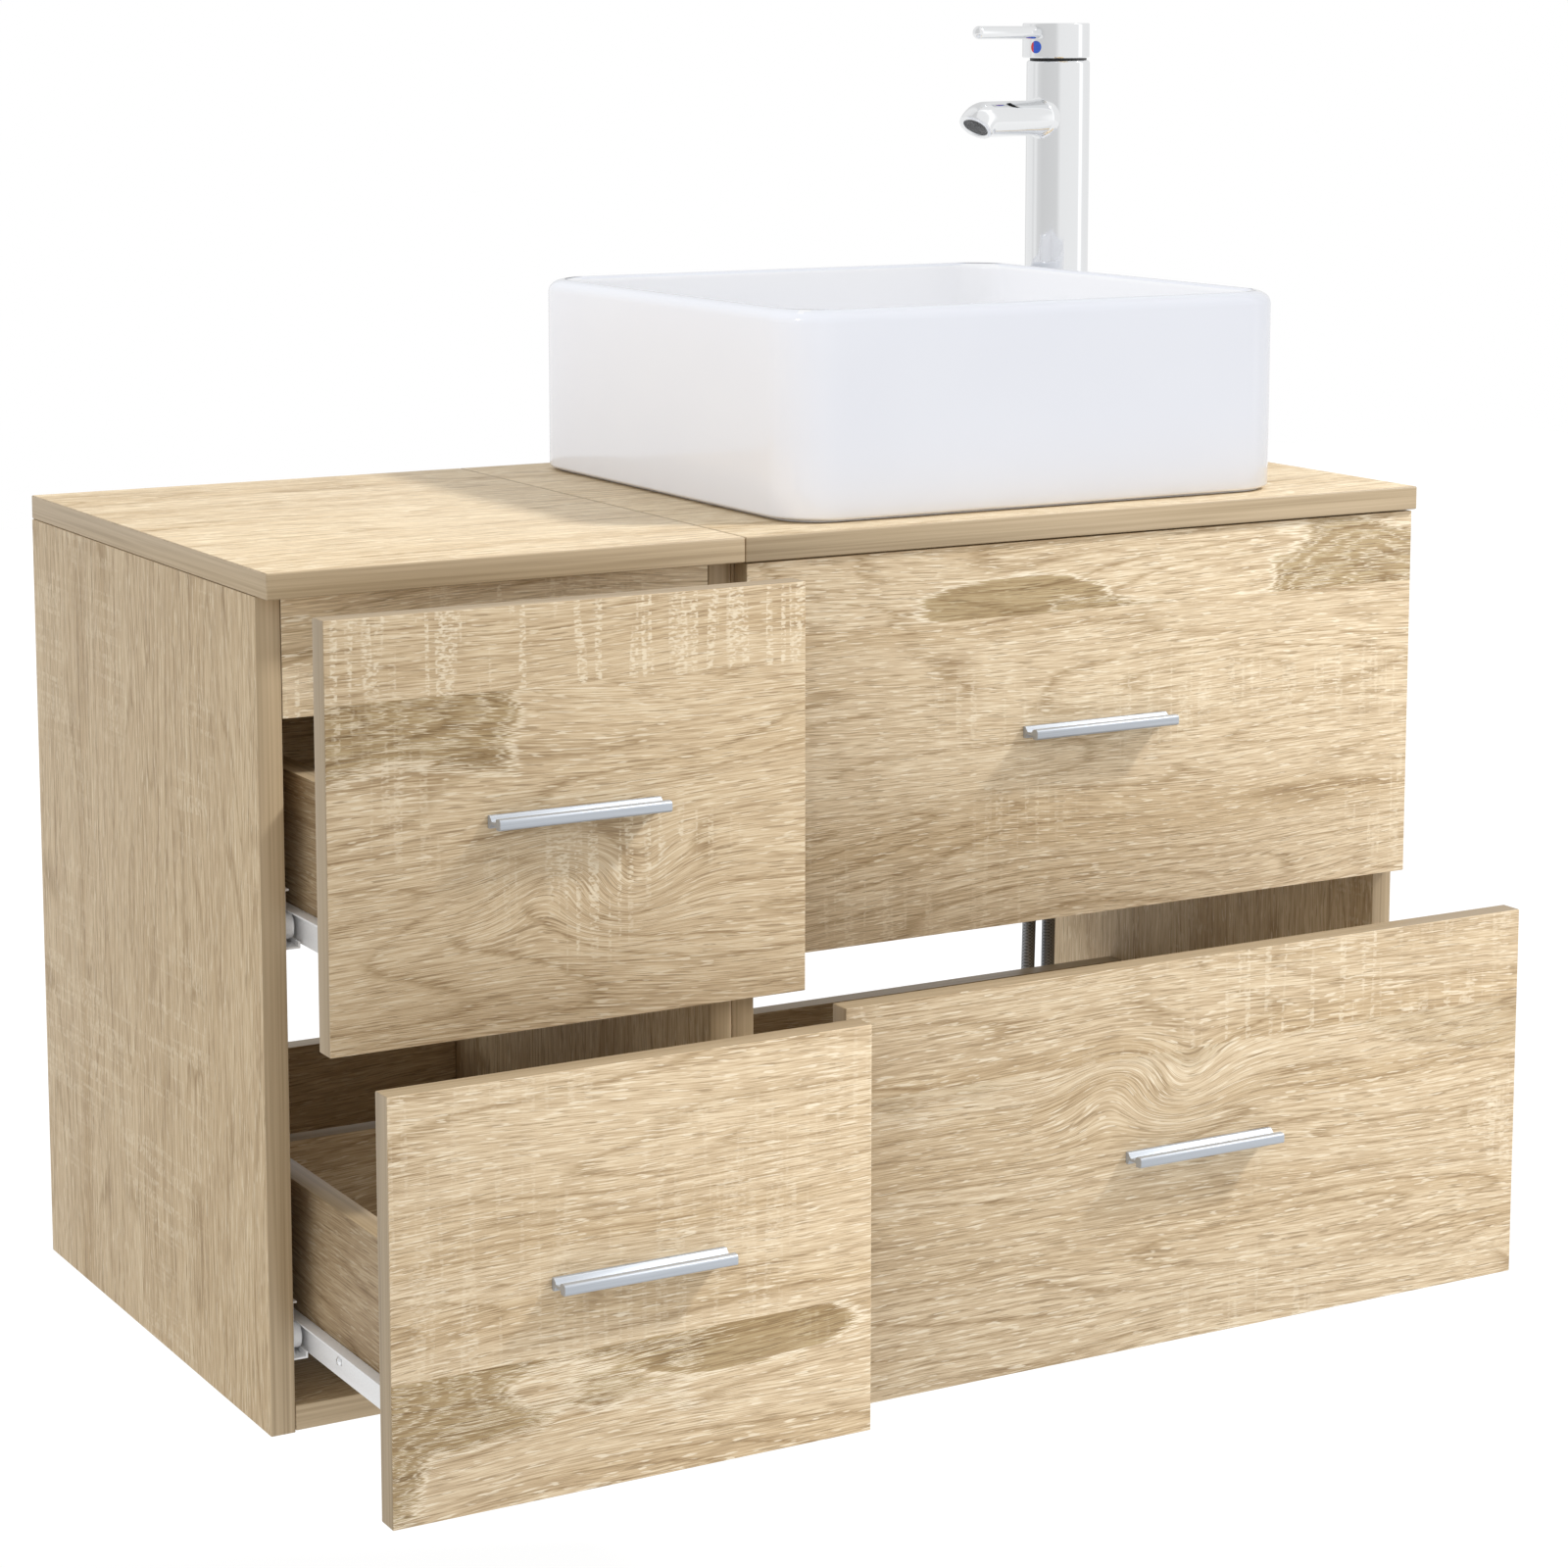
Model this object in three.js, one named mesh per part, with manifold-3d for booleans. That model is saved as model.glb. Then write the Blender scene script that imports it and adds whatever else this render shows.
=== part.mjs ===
// Wall-hung bathroom vanity: two flat-pack cabinets, four drawers, a vessel basin and a mixer tap.
// Millimetres, +Z up, +X right, -Y towards the user, y = 0 on the wall. The origin is on the wall
// face of the wide cabinet's hanging rail.
import * as THREE from "three";
import { mergeVertices } from "three/addons/utils/BufferGeometryUtils.js";
import Module from "manifold-3d";

const wasm = await Module();
wasm.setup();

// ---- driving dimensions ------------------------------------------------------------------------
const WIDTH = 800;                 // both cabinets together
const DEPTH = 400;                 // wall to the front edge of the tops
const TOP_Z = 90;                  // upper face of the tops
const BASE_Z = -410;               // lower end of the side panels
const BOARD = 15;                  // coated chipboard
const FIT = 0.3;                   // gap between touching pieces
const NARROW = 300;                // width of the left cabinet
const SIDE_SETBACK = 18;           // side panels end this far behind the tops' front edge
const WALL_RAIL_H = { left: 200, right: 144 };   // upper rails that hang on the wall
const LOW_RAIL_TOP = -292;         // upper edge of the lower rails
const WIDE_LOW_RAIL_Y = -93;       // the wide cabinet's lower rail leaves a pipe space behind it

const FRONT_SETBACK = 2.5;         // closed drawer fronts stand this far behind the tops' edge
const FRONT_INSET = 2;             // front to the cabinet's outer side
const FRONT_ENDS = { upper: [-165.6, 73.8], lower: [-406.1, -168.1] };
const BOX_RISE = 40.8;             // lower edge of the front to the lower edge of the drawer box
const BOX_H = 95;
const BOX_DEPTH = 267.2;
const BOX_SIDE_GAP = 13;           // room for a roller slide on each side
const GROOVE_DEPTH = 6;
const GROOVE_RISE = 8;             // groove for the thin drawer bottom, above the box's lower edge
const PANEL = 3;                   // thin drawer bottom

const SLIDE_LENGTH = 250;
const SLIDE_FRONT = 4;             // slide starts this far behind the drawer front
const SHEET = 1.2;                 // steel of the slides
const ROLLER_R = 8;

const HANDLE_LENGTH = 106;
const HANDLE_PROJECTION = 16;
const HANDLE_RISE = 121.2;         // handle axis above the lower edge of the front

const BASIN = { x: 131.8, y: -194.2, width: 367, depth: 360, height: 128.6, corner: 34 };
const BASIN_WALL = 13;
const BASIN_FLOOR = 16;
const BOWL_FILLET = 20;
const DRAIN_R = 22.5;

const TAP = { x: 348.4, y: -52, bodyR: 22.5, capR: 23.8, capBase: 274.1, height: 298.6 };
const CAP_SHIFT = 3;               // the lever cap's axis lies this far in front of the column's
const SPOUT = { radius: 12.4, z: 232, straight: 86.8, reach: 96, drop: 3.8 };
const LEVER = { radius: 4.5, z: 292, reach: 97 };
const TAP_TURN = -160;             // degrees about Z from +X: spout and lever point left and forward
const SHANK_R = 12;
const SHANK_END_Z = 46;
const HOSE_R = 5;

// Distance that each drawer stands open.
const OPEN = { left_upper: 76.8, left_lower: 152, right_upper: 0, right_lower: 116.2 };

// ---- geometry helpers --------------------------------------------------------------------------
function solidOf(geometry) {
  const bare = geometry.clone();
  for (const name of Object.keys(bare.attributes)) {
    if (name !== "position") bare.deleteAttribute(name);
  }
  const merged = mergeVertices(bare, 1e-4);
  return new wasm.Manifold(new wasm.Mesh({
    numProp: 3,
    vertProperties: new Float32Array(merged.attributes.position.array),
    triVerts: new Uint32Array(merged.index.array),
  }));
}

function geometryOf(solid) {
  const mesh = solid.getMesh();
  const geometry = new THREE.BufferGeometry();
  geometry.setAttribute("position", new THREE.BufferAttribute(mesh.vertProperties, 3));
  geometry.setIndex(new THREE.BufferAttribute(mesh.triVerts, 1));
  geometry.computeVertexNormals();
  return geometry;
}

function join(...geometries) {
  return geometryOf(geometries.map(solidOf).reduce((whole, piece) => whole.add(piece)));
}

function cut(body, ...tools) {
  return geometryOf(tools.map(solidOf).reduce((whole, tool) => whole.subtract(tool), solidOf(body)));
}

// Box from its lowest to its highest corner.
function block([x0, y0, z0], [x1, y1, z1]) {
  const geometry = new THREE.BoxGeometry(x1 - x0, y1 - y0, z1 - z0);
  return geometry.translate((x0 + x1) / 2, (y0 + y1) / 2, (z0 + z1) / 2);
}

// Cylinder between two heights.
function post(x, y, z0, z1, radius, segments = 32) {
  const geometry = new THREE.CylinderGeometry(radius, radius, z1 - z0, segments);
  return geometry.rotateX(Math.PI / 2).translate(x, y, (z0 + z1) / 2);
}

// Cylinder along X between two places.
function axle(x0, x1, y, z, radius, segments = 20) {
  const geometry = new THREE.CylinderGeometry(radius, radius, Math.abs(x1 - x0), segments);
  return geometry.rotateZ(Math.PI / 2).translate((x0 + x1) / 2, y, z);
}

// Section given as [x, z] points, run along Y.
function profileAlongY(points, y0, y1) {
  const shape = new THREE.Shape(points.map(([x, z]) => new THREE.Vector2(x, z)));
  const geometry = new THREE.ExtrudeGeometry(shape, { depth: y1 - y0, bevelEnabled: false });
  return geometry.rotateX(Math.PI / 2).translate(0, y1, 0);
}

function roundedRectangle(width, depth, radius) {
  const [w, d] = [width / 2, depth / 2];
  const shape = new THREE.Shape();
  shape.moveTo(-w + radius, -d);
  shape.lineTo(w - radius, -d).absarc(w - radius, -d + radius, radius, -Math.PI / 2, 0);
  shape.lineTo(w, d - radius).absarc(w - radius, d - radius, radius, 0, Math.PI / 2);
  shape.lineTo(-w + radius, d).absarc(-w + radius, d - radius, radius, Math.PI / 2, Math.PI);
  shape.lineTo(-w, -d + radius).absarc(-w + radius, -d + radius, radius, Math.PI, 1.5 * Math.PI);
  return shape;
}

function turned(profile, segments = 40) {
  const points = profile.map(([r, z]) => new THREE.Vector2(r, z));
  return new THREE.LatheGeometry(points, segments).rotateX(Math.PI / 2);
}

// Rod along +X with a small chamfer at its free end.
function rod(length, radius, chamfer, segments = 24) {
  const profile = [[0, 0], [radius, 0], [radius, length - chamfer], [radius - chamfer, length], [0, length]];
  return turned(profile, segments).rotateY(Math.PI / 2);
}

function tube(points, radius, steps, sides = 10) {
  const section = new THREE.Shape();
  for (let i = 0; i < sides; i += 1) {
    const angle = (2 * Math.PI * i) / sides;
    const [x, y] = [radius * Math.cos(angle), radius * Math.sin(angle)];
    if (i === 0) section.moveTo(x, y);
    else section.lineTo(x, y);
  }
  const extrudePath = new THREE.CatmullRomCurve3(points.map((p) => new THREE.Vector3(...p)));
  return new THREE.ExtrudeGeometry(section, { steps, extrudePath, bevelEnabled: false });
}

// ---- materials ---------------------------------------------------------------------------------
const finish = (color, roughness, metalness) => () => (
  new THREE.MeshStandardMaterial({ color, roughness, metalness })
);
const oak = finish(0xd9bf94, 0.6, 0);
const oakInside = finish(0xc4a67c, 0.65, 0);
const whitePanel = finish(0xe9e6df, 0.6, 0);
const whiteSteel = finish(0xf0f0ee, 0.35, 0.1);
const satin = finish(0xc3cdd8, 0.35, 0.8);
const ceramic = finish(0xf6f6f8, 0.1, 0);
const chrome = finish(0xd8dadd, 0.08, 1);
const braid = finish(0x6f747a, 0.4, 0.6);

const vanity = new THREE.Group();

function put(name, geometry, material, group = vanity) {
  const mesh = new THREE.Mesh(geometry, material());
  mesh.name = name;
  group.add(mesh);
  return mesh;
}

// ---- cabinets ----------------------------------------------------------------------------------
const frontY = -DEPTH;
const topUnder = TOP_Z - BOARD;
const cabinets = {
  left: { x0: -WIDTH / 2, x1: -WIDTH / 2 + NARROW, lowRailY: -BOARD, bottomEndY: 0 },
  right: {
    x0: -WIDTH / 2 + NARROW, x1: WIDTH / 2, lowRailY: WIDE_LOW_RAIL_Y,
    bottomEndY: WIDE_LOW_RAIL_Y + BOARD,
  },
};

function cabinet(name, { x0, x1, lowRailY, bottomEndY }) {
  const sideFront = frontY + SIDE_SETBACK;
  const [inner0, inner1] = [x0 + BOARD + FIT, x1 - BOARD - FIT];
  const seam0 = name === "right" ? x0 + FIT / 2 : x0;
  const seam1 = name === "left" ? x1 - FIT / 2 : x1;
  const sideTop = topUnder - FIT;
  const panel = (from, to) => block([from, sideFront, BASE_Z], [to, 0, sideTop]);
  put(`${name}_cabinet_left_side`, panel(seam0, x0 + BOARD), oak);
  put(`${name}_cabinet_right_side`, panel(x1 - BOARD, seam1), oak);
  const floorZ = BASE_Z + 1;
  put(
    `${name}_cabinet_bottom`,
    block([inner0, sideFront, floorZ], [inner1, bottomEndY, floorZ + BOARD]), oak,
  );
  put(
    `${name}_cabinet_hanging_rail`,
    block([inner0, -BOARD, sideTop - WALL_RAIL_H[name]], [inner1, 0, sideTop]), oak,
  );
  put(
    `${name}_cabinet_lower_rail`,
    block([inner0, lowRailY, floorZ + BOARD + FIT], [inner1, lowRailY + BOARD, LOW_RAIL_TOP]), oak,
  );
  const slab = block([seam0, frontY, topUnder], [seam1, 0, TOP_Z]);
  if (name === "left") {
    put("left_countertop", slab, oak);
    return;
  }
  const drainHole = post(BASIN.x, BASIN.y, topUnder - 1, TOP_Z + 1, DRAIN_R + 4);
  const tapHole = post(TAP.x, TAP.y, topUnder - 1, TOP_Z + 1, SHANK_R + 4);
  put("right_countertop", cut(slab, drainHole, tapHole), oak);
}

for (const [name, spec] of Object.entries(cabinets)) cabinet(name, spec);

// ---- drawers -----------------------------------------------------------------------------------
// Handle section, x outward from the drawer front and y upward: a low ridge that rests on the front,
// a thin neck with a finger groove above it, and a rounded bar.
function handle() {
  const p = HANDLE_PROJECTION;
  const [barDepth, barHalf, round] = [5.5, 3.2, 1.8];
  const [neckLow, neckHigh] = [-1.2, 0.4];
  const shape = new THREE.Shape();
  shape.moveTo(0, -3.9).lineTo(2.2, -3.9).lineTo(3.6, neckLow).lineTo(p - barDepth, neckLow);
  shape.lineTo(p - barDepth, -barHalf + 0.6).lineTo(p - barDepth + 0.6, -barHalf);
  shape.lineTo(p - round, -barHalf).absarc(p - round, -barHalf + round, round, -Math.PI / 2, 0);
  shape.lineTo(p, barHalf - round).absarc(p - round, barHalf - round, round, 0, Math.PI / 2);
  shape.lineTo(p - barDepth + 1.3, barHalf).lineTo(p - barDepth, barHalf - 0.8);
  shape.lineTo(p - barDepth - 1.2, neckHigh).lineTo(5, neckHigh);
  shape.lineTo(3.6, barHalf - 1.2).lineTo(2.4, barHalf).lineTo(0, barHalf);
  shape.closePath();
  const options = { depth: HANDLE_LENGTH, bevelEnabled: false, curveSegments: 6 };
  const bar = new THREE.ExtrudeGeometry(shape, options);
  return bar.translate(0, 0, -HANDLE_LENGTH / 2).rotateY(-Math.PI / 2).rotateX(Math.PI / 2);
}

// Slide sections, u from the drawer box's side towards the cabinet, z from the box's lower edge.
const slideHoles = [30, 110, 190];

function slidePair(group, name, boxX, outward, boxZ, closedFront) {
  const at = (u) => boxX + outward * u;
  const [y0, y1] = [closedFront + SLIDE_FRONT, closedFront + SLIDE_FRONT + SLIDE_LENGTH];
  const drawerSection = [
    [-12, -1.5], [1.5, -1.5], [1.5, 16.8], [7.5, 16.8], [7.5, 18], [0.3, 18], [0.3, -0.3], [-12, -0.3],
  ];
  const cabinetSection = [
    [12.7, -3], [12.7, 32], [9.5, 32], [9.5, 30.8], [11.5, 30.8], [11.5, -1.8], [4.4, -1.8],
    [4.4, 1], [3.2, 1], [3.2, -3],
  ];
  const place = (section) => {
    const points = section.map(([u, z]) => [at(u), boxZ + z]);
    return outward > 0 ? points : points.reverse();
  };
  const slot = (u0, u1, y, z) => block(
    [Math.min(at(u0), at(u1)), y - 3, boxZ + z - 2], [Math.max(at(u0), at(u1)), y + 3, boxZ + z + 2],
  );
  const rollerY = { drawer: y1 - 12, cabinet: y0 + 12 };
  const drawerMember = join(
    cut(profileAlongY(place(drawerSection), y0, y1), ...slideHoles.map((d) => slot(0, 2, y0 + d, 8))),
    axle(at(1), at(5.5), rollerY.drawer, boxZ + 6.5, 2.5, 12),
    axle(at(5.2), at(10.5), rollerY.drawer, boxZ + 6.5, ROLLER_R),
  );
  put(`${name}_drawer_member`, drawerMember, whiteSteel, group);
  const cabinetMember = join(
    cut(
      profileAlongY(place(cabinetSection), y0, y1),
      ...slideHoles.map((d) => slot(11, 13, y0 + d + 20, 22)),
    ),
    axle(at(12), at(10), rollerY.cabinet, boxZ + 8.5, 2.5, 12),
    axle(at(10.5), at(5), rollerY.cabinet, boxZ + 8.5, ROLLER_R),
  );
  put(`${name}_cabinet_member`, cabinetMember, whiteSteel);
}

function drawer(side, row) {
  const name = `${side}_${row}_drawer`;
  const { x0, x1 } = cabinets[side];
  const group = new THREE.Group();
  group.position.y = -OPEN[`${side}_${row}`];
  vanity.add(group);

  const face = frontY + FRONT_SETBACK;
  const back = face + BOARD;
  const [zLow, zTop] = FRONT_ENDS[row];
  const boxZ = zLow + BOX_RISE;
  const [bx0, bx1] = [x0 + BOARD + BOX_SIDE_GAP, x1 - BOARD - BOX_SIDE_GAP];
  const [by0, by1] = [back + FIT, back + BOX_DEPTH];
  const [gz0, gz1] = [boxZ + GROOVE_RISE - FIT, boxZ + GROOVE_RISE + PANEL + FIT];

  const groove = (from, to, y0, y1) => block([from, y0, gz0], [to, y1, gz1]);
  const frontBoard = block([x0 + FRONT_INSET, face, zLow], [x1 - FRONT_INSET, back, zTop]);
  const [gx0, gx1] = [bx0 + BOARD - GROOVE_DEPTH, bx1 - BOARD + GROOVE_DEPTH];
  const frontGroove = groove(gx0, gx1, back - GROOVE_DEPTH, back + 1);
  put(`${name}_front`, cut(frontBoard, frontGroove), oak, group);

  const leftBoard = block([bx0, by0, boxZ], [bx0 + BOARD, by1, boxZ + BOX_H]);
  const leftGroove = groove(gx0, bx0 + BOARD + 1, by0 - 1, by1 + 1);
  put(`${name}_left_side`, cut(leftBoard, leftGroove), oakInside, group);
  const rightBoard = block([bx1 - BOARD, by0, boxZ], [bx1, by1, boxZ + BOX_H]);
  const rightGroove = groove(bx1 - BOARD - 1, gx1, by0 - 1, by1 + 1);
  put(`${name}_right_side`, cut(rightBoard, rightGroove), oakInside, group);
  const [ix0, ix1] = [bx0 + BOARD + FIT, bx1 - BOARD - FIT];
  put(`${name}_back`, block([ix0, by1 - BOARD, gz1], [ix1, by1, boxZ + BOX_H]), oakInside, group);
  put(
    `${name}_bottom`,
    block(
      [gx0 + 2 * FIT, back - GROOVE_DEPTH + FIT, gz0 + FIT],
      [gx1 - 2 * FIT, by1, gz1 - FIT],
    ),
    whitePanel, group,
  );

  const bar = put(`${name}_handle`, handle(), satin, group);
  bar.position.set((x0 + x1) / 2, face - FIT, zLow + HANDLE_RISE);

  slidePair(group, `${name}_left_slide`, bx0, -1, boxZ, back);
  slidePair(group, `${name}_right_slide`, bx1, 1, boxZ, back);
}

for (const side of ["left", "right"]) {
  for (const row of ["upper", "lower"]) drawer(side, row);
}

// ---- basin -------------------------------------------------------------------------------------
function basin() {
  const { width, depth, height, corner } = BASIN;
  const edge = 4;
  const foot = roundedRectangle(width - 2 * edge, depth - 2 * edge, corner - edge);
  const outer = new THREE.ExtrudeGeometry(foot, {
    depth: height - FIT - 2 * edge, curveSegments: 8,
    bevelThickness: edge, bevelSize: edge, bevelSegments: 3,
  }).translate(0, 0, edge);
  const [w, d] = [width - 2 * BASIN_WALL, depth - 2 * BASIN_WALL];
  const f = BOWL_FILLET;
  const bowl = new THREE.ExtrudeGeometry(roundedRectangle(w - 2 * f, d - 2 * f, corner - 6), {
    depth: height, bevelThickness: f, bevelSize: f, bevelSegments: 4, curveSegments: 6,
  }).translate(0, 0, BASIN_FLOOR + f);
  const drain = post(0, 0, -1, BASIN_FLOOR + 1, DRAIN_R);
  return cut(outer, bowl, drain);
}

put("basin", basin(), ceramic).position.set(BASIN.x, BASIN.y, TOP_Z + FIT);

// ---- mixer tap and its two supply hoses --------------------------------------------------------
const tap = new THREE.Group();
tap.position.set(TAP.x, TAP.y, TOP_Z);
tap.rotation.z = THREE.MathUtils.degToRad(TAP_TURN);
vanity.add(tap);

function tapBody() {
  const rimZ = TAP.capBase - 2;
  const column = turned([
    [0, FIT], [25, FIT], [25, 3], [TAP.bodyR, 5], [TAP.bodyR, rimZ - 1.2], [20.9, rimZ], [0, rimZ],
  ]);
  const { radius, z, straight, reach, drop } = SPOUT;
  const bend = reach - straight;
  const spout = tube([
    [0, 0, z], [straight / 2, 0, z], [straight, 0, z], [straight + 0.5 * bend, 0, z - 0.2 * drop],
    [reach, 0, z - drop],
  ], radius, 24, 24);
  const shank = post(0, 0, SHANK_END_Z - TOP_Z, 2, SHANK_R, 24);
  const socket = post(0, 0, TAP.capBase - 20, TAP.capBase, 9, 24);
  return cut(join(column, spout, shank), socket);
}

const stemTop = TAP.capBase + 9;

function spindle() {
  return join(
    post(0, 0, TAP.capBase - 19.5, TAP.capBase - 1, 8.5, 24),
    post(0, 0, TAP.capBase - 2, stemTop, 6, 16),
  );
}

function lever() {
  const cap = turned([
    [0, TAP.capBase], [TAP.capR - 0.6, TAP.capBase], [TAP.capR, TAP.capBase + 0.6],
    [TAP.capR, TAP.height - 1], [TAP.capR - 1, TAP.height], [0, TAP.height],
  ]).translate(CAP_SHIFT, 0, 0);
  const pocket = block([-13, -11, TAP.capBase - 1], [15, 11, stemTop + 6]);
  const pin = rod(LEVER.reach, LEVER.radius, 2).translate(0, 0, LEVER.z);
  return cut(join(cap, pin), pocket);
}

put("tap_body", tapBody(), chrome, tap);
put("tap_spindle", spindle(), chrome, tap);
put("tap_lever", lever(), chrome, tap);

// Each hose hangs from the shank's end, spreading a little, and ends in a union nut.
const hoses = {
  hot: [
    [342.9, -52, 45.7], [342.6, -52, 20], [340.4, -51.6, -20], [337.4, -51, -80], [335, -50.4, -150],
    [333, -50, -220], [331.4, -49.8, -290], [330.6, -49.8, -330],
  ],
  cold: [
    [353.9, -52, 45.7], [353.6, -52, 20], [352.4, -51.6, -20], [351, -51, -80], [350.4, -50.4, -150],
    [349.6, -50, -220], [348.8, -49.8, -290], [348.4, -49.8, -330],
  ],
};

for (const [name, points] of Object.entries(hoses)) {
  put(`${name}_supply_hose`, tube(points, HOSE_R, 24), braid);
  const [x, y, z] = points[points.length - 1];
  const nut = join(
    post(x, y, z - 22, z - FIT, 8.5, 6),
    post(x, y, z - 26, z - 20, 6.2, 16),
  );
  put(`${name}_hose_union_nut`, nut, chrome);
}

export default vanity;
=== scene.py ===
"""Looks of the wall-hung vanity: oak-look boards, glazed basin, chrome mixer tap, slides and hoses.

Metres, +Z up, +X right, -Y towards the user, y = 0 on the wall, as in the CAD model.
"""
import math

import bmesh
import bpy
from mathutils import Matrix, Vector


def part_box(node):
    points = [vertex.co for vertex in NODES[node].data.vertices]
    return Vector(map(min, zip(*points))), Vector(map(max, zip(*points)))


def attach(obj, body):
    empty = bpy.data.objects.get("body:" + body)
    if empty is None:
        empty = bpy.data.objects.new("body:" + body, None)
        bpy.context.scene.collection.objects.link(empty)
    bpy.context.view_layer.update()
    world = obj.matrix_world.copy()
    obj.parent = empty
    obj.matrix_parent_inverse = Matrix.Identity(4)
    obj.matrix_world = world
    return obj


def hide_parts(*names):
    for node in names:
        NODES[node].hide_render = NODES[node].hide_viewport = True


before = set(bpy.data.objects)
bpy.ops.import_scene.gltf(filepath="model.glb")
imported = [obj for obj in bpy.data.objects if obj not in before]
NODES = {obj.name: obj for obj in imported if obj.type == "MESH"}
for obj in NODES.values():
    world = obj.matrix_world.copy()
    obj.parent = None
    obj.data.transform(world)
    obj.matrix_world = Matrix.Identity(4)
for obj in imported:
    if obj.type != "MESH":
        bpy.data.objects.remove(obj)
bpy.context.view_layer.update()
MM = 0.001
FLAT_ANGLE = math.radians(35)


# ---- camera ----
def make_camera():
    data = bpy.data.cameras.new("camera")
    data.sensor_width = 36
    data.lens = 86.37
    data.shift_y = -0.14
    data.clip_end = 50
    camera = bpy.data.objects.new("camera", data)
    camera.location = (-1.1587, -2.3117, 0.3872)
    camera.rotation_euler = (math.radians(90 - 8.159), 0, math.radians(-29.568))
    bpy.context.scene.collection.objects.link(camera)
    bpy.context.scene.camera = camera


# ---- node trees ----
class Tree:
    """A material's node tree, built with one call per node."""

    def __init__(self, name):
        self.material = bpy.data.materials.new(name)
        self.material.use_nodes = True
        self.nodes = self.material.node_tree.nodes
        self.links = self.material.node_tree.links
        self.shader = self.nodes["Principled BSDF"]

    def add(self, kind, inputs=None, out=0, **props):
        node = self.nodes.new(kind)
        for key, value in props.items():
            setattr(node, key, value)
        for key, value in (inputs or {}).items():
            self.plug(node.inputs[key], value)
        return node.outputs[out]

    def plug(self, socket, value):
        if isinstance(value, bpy.types.NodeSocket):
            self.links.new(value, socket)
        else:
            socket.default_value = value

    def set(self, **inputs):
        for key, value in inputs.items():
            self.plug(self.shader.inputs[key.replace("_", " ")], value)
        return self.material

    def math(self, operation, a, b=0.0, clamp=False):
        return self.add("ShaderNodeMath", {0: a, 1: b}, operation=operation, use_clamp=clamp)

    def place(self):
        """Object coordinates as one vector."""
        return self.add("ShaderNodeTexCoord", out=3)

    def split(self, vector):
        node = self.nodes.new("ShaderNodeSeparateXYZ")
        self.links.new(vector, node.inputs[0])
        return node.outputs

    def object_axes(self):
        return dict(zip("xyz", self.split(self.place())))

    def vector(self, x, y, z):
        return self.add("ShaderNodeCombineXYZ", {0: x, 1: y, 2: z})

    def noise(self, vector, scale, detail=2.0, roughness=0.5):
        """Noise with scale cells per metre along each axis; the mean is about 0.5."""
        stretched = self.add("ShaderNodeVectorMath", {0: vector, 1: scale}, operation="MULTIPLY")
        return self.add(
            "ShaderNodeTexNoise",
            {"Vector": stretched, "Scale": 1.0, "Detail": detail, "Roughness": roughness},
        )

    def ramp(self, factor, *stops):
        """Colour ramp from (position, grey or colour) stops."""
        node = self.nodes.new("ShaderNodeValToRGB")
        elements = node.color_ramp.elements
        while len(elements) < len(stops):
            elements.new(0.5)
        for element, (position, colour) in zip(elements, stops):
            element.position = position
            element.color = (colour,) * 3 + (1,) if isinstance(colour, float) else (*colour, 1)
        self.links.new(factor, node.inputs[0])
        return node.outputs[0]

    def mix(self, factor, a, b, blend="MIX"):
        node = self.nodes.new("ShaderNodeMix")
        node.data_type = "RGBA"
        node.blend_type = blend
        for socket, value in zip((node.inputs[0], node.inputs[6], node.inputs[7]), (factor, a, b)):
            self.plug(socket, value)
        return node.outputs[2]

    def bump(self, height, distance, strength=1.0):
        return self.add(
            "ShaderNodeBump", {"Height": height, "Distance": distance, "Strength": strength}
        )


# ---- wood ----
OAK_DARK = (0.40, 0.295, 0.175)
OAK_BROWN = (0.56, 0.43, 0.275)
OAK_MID = (0.70, 0.56, 0.375)
OAK_LIGHT = (0.82, 0.69, 0.49)
OAK_CREAM = (0.95, 0.86, 0.68)
BAND_DARK = (0.36, 0.265, 0.16)
BAND = (0.46, 0.35, 0.225)
BAND_LIGHT = (0.55, 0.425, 0.285)
BROAD_SHADE = (0.88, 0.84, 0.77)       # colour of the wide darker bands, as a factor
FIGURE_SHADE = (0.62, 0.57, 0.46)      # colour inside the olive figure, as a factor
RING_SHADE = (0.60, 0.53, 0.43)        # colour of the growth rings, as a factor
RING_COUNT = 18.0
KNOT_RADIUS = 0.025
KNOT_STRETCH = (0.62, 1.0, 0.0)        # makes the knot longer along the grain
KNOT_TURN = 1.0                        # radians that the grain turns at the knot's centre
WAVE = 0.045                           # swing of the grain's slow waves, metres
RIPPLE = 0.003                         # swing of its small ripples
DEPTH_RATE = 3.1                       # how fast the print changes from one face of a board to the other
PLANK_SHIFT = 0.37                     # how far apart in the noise the planks on either side of a seam lie

# Noise cells per metre: along the grain, across it and into the board.
FIBRE_CELLS = (32.0, 1150.0, 60.0)
STREAK_CELLS = (3.5, 190.0, 60.0)
BROAD_CELLS = (1.3, 24.0, 60.0)
PORE_CELLS = (45.0, 950.0, 60.0)
FLECK_CELLS = (75.0, 800.0, 95.0)
WAVE_CELLS = (2.4, 9.0, 60.0)
RIPPLE_CELLS = (9.0, 50.0, 60.0)
RING_CELLS = (1.7, 15.0, 60.0)
RING_BREAK_CELLS = (6.0, 40.0, 60.0)
FIGURE_CELLS = (7.0, 11.0, 60.0)
SAW_COLUMN_CELLS = (190.0, 9.0, 60.0)
SAW_DASH_CELLS = (260.0, 620.0, 60.0)
SAW_PATCH_CELLS = (6.0, 9.0, 60.0)

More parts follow.
